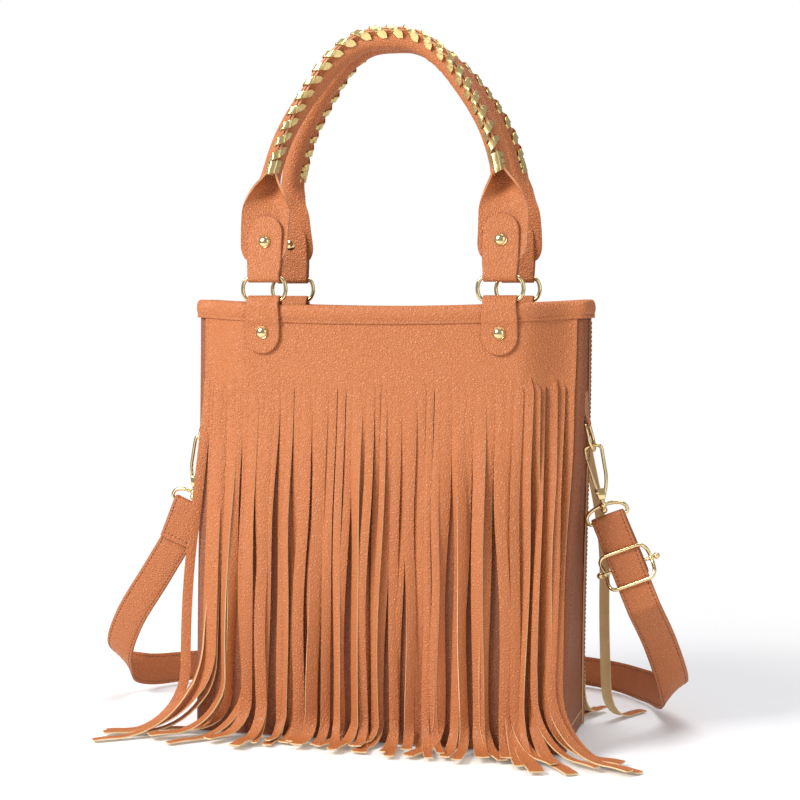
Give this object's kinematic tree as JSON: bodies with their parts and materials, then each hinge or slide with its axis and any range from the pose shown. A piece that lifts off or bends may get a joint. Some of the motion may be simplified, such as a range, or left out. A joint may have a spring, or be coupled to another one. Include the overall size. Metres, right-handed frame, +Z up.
{
  "type": "fringed bag",
  "caption": "Upright open-top bag with fringed front and back, rolled laced handles on rings and a clip-on adjustable shoulder strap.",
  "frame": {"origin": "middle of the underside of the base, on the floor", "axes": "+Z up, the fringed front with the fanned-out strips faces -Y, +X towards the strap's slider"},
  "size_m": [0.4784, 0.2991, 0.5404],
  "materials": {
    "tan_leather": "pebble-grained tan face, buff suede-like reverse",
    "gold_metal": "polished pale gold plating",
    "gold_lacing": "flat lace with a pale metallic gold face",
    "handle_filling": "cord filling, unseen",
    "lining_cloth": "plain dark woven cloth",
    "base_board": "grey stiffener, unseen"
  },
  "bodies": {
    "bag": {"front_panel": "tan_leather", "back_panel": "tan_leather", "gusset_left": "tan_leather", "gusset_right": "tan_leather", "base_panel": "tan_leather", "base_board": "base_board", "lining": "lining_cloth", "rim_binding": "tan_leather", "front_fringe": "tan_leather", "back_fringe": "tan_leather", "side_tab_left": "tan_leather", "side_tab_right": "tan_leather", "anchor_tab_front_left": "tan_leather", "anchor_tab_front_right": "tan_leather", "anchor_tab_back_left": "tan_leather", "anchor_tab_back_right": "tan_leather", "anchor_rivet_front_left": "gold_metal", "anchor_rivet_front_right": "gold_metal", "anchor_rivet_back_left": "gold_metal", "anchor_rivet_back_right": "gold_metal"},
    "front_rings": {"handle_ring_front_left": "gold_metal", "handle_ring_front_right": "gold_metal"},
    "front_handle": {"handle_front": "tan_leather", "lacing_front": "gold_lacing", "handle_core_front": "handle_filling", "connector_tab_front_left": "tan_leather", "connector_tab_front_right": "tan_leather", "handle_rivet_front_left": "gold_metal", "handle_rivet_front_right": "gold_metal"},
    "back_rings": {"handle_ring_back_left": "gold_metal", "handle_ring_back_right": "gold_metal"},
    "back_handle": {"handle_back": "tan_leather", "lacing_back": "gold_lacing", "handle_core_back": "handle_filling", "connector_tab_back_left": "tan_leather", "connector_tab_back_right": "tan_leather", "handle_rivet_back_left": "gold_metal", "handle_rivet_back_right": "gold_metal"},
    "side_ring_left": {"side_ring_left": "gold_metal"},
    "side_ring_right": {"side_ring_right": "gold_metal"},
    "shoulder_strap": {"shoulder_strap": "tan_leather", "swivel_loop_left": "gold_metal", "swivel_loop_right": "gold_metal"},
    "hook_left": {"hook_left": "gold_metal"},
    "hook_right": {"hook_right": "gold_metal"},
    "gate_left": {"gate_left": "gold_metal"},
    "gate_right": {"gate_right": "gold_metal"},
    "slider": {"slider_frame": "gold_metal", "slider_pin": "gold_metal"}
  },
  "joints": [
    {"name": "front_rings_hinge", "type": "hinge", "parent": "bag", "child": "front_rings", "pos_m": [0, -0.03498, 0.33233], "axis": [1, 0, 0], "range_deg": [0, 60]},
    {"name": "front_handle_hinge", "type": "hinge", "parent": "front_rings", "child": "front_handle", "pos_m": [0, -0.03498, 0.34933], "axis": [1, 0, 0], "range_deg": [0, 60]},
    {"name": "back_rings_hinge", "type": "hinge", "parent": "bag", "child": "back_rings", "pos_m": [0, 0.03498, 0.33233], "axis": [-1, 0, 0], "range_deg": [0, 60]},
    {"name": "back_handle_hinge", "type": "hinge", "parent": "back_rings", "child": "back_handle", "pos_m": [0, 0.03498, 0.34933], "axis": [-1, 0, 0], "range_deg": [0, 60]},
    {"name": "strap_swing", "type": "hinge", "parent": "bag", "child": "shoulder_strap", "pos_m": [0, 0, 0.22834], "axis": [1, 0, 0], "range_deg": [0, 70]},
    {"name": "side_ring_left_hinge", "type": "hinge", "parent": "bag", "child": "side_ring_left", "pos_m": [-0.15274, 0, 0.238], "axis": [0, 1, 0], "range_deg": [-6, 6]},
    {"name": "hook_left_swivel", "type": "hinge", "parent": "shoulder_strap", "child": "hook_left", "pos_m": [-0.16499, 0, 0.17768], "axis": [0.1817, 0, 0.9834], "range_deg": [-20, 20]},
    {"name": "gate_left_hinge", "type": "hinge", "parent": "hook_left", "child": "gate_left", "pos_m": [-0.16108, 0, 0.18672], "axis": [0, -1, 0], "range_deg": [0, 18], "stiffness_Nm_per_rad": 0.005, "springref_deg": -17.19},
    {"name": "side_ring_right_hinge", "type": "hinge", "parent": "bag", "child": "side_ring_right", "pos_m": [0.15274, 0, 0.238], "axis": [0, 1, 0], "range_deg": [-6, 6]},
    {"name": "hook_right_swivel", "type": "hinge", "parent": "shoulder_strap", "child": "hook_right", "pos_m": [0.16499, 0, 0.17768], "axis": [-0.1817, 0, 0.9834], "range_deg": [-20, 20]},
    {"name": "gate_right_hinge", "type": "hinge", "parent": "hook_right", "child": "gate_right", "pos_m": [0.16108, 0, 0.18672], "axis": [0, 1, 0], "range_deg": [0, 18], "stiffness_Nm_per_rad": 0.005, "springref_deg": -17.19},
    {"name": "slider_slide", "type": "slide", "parent": "shoulder_strap", "child": "slider", "axis": [0.3746, 0, -0.9272], "range_m": [-0.006, 0.006]}
  ]
}
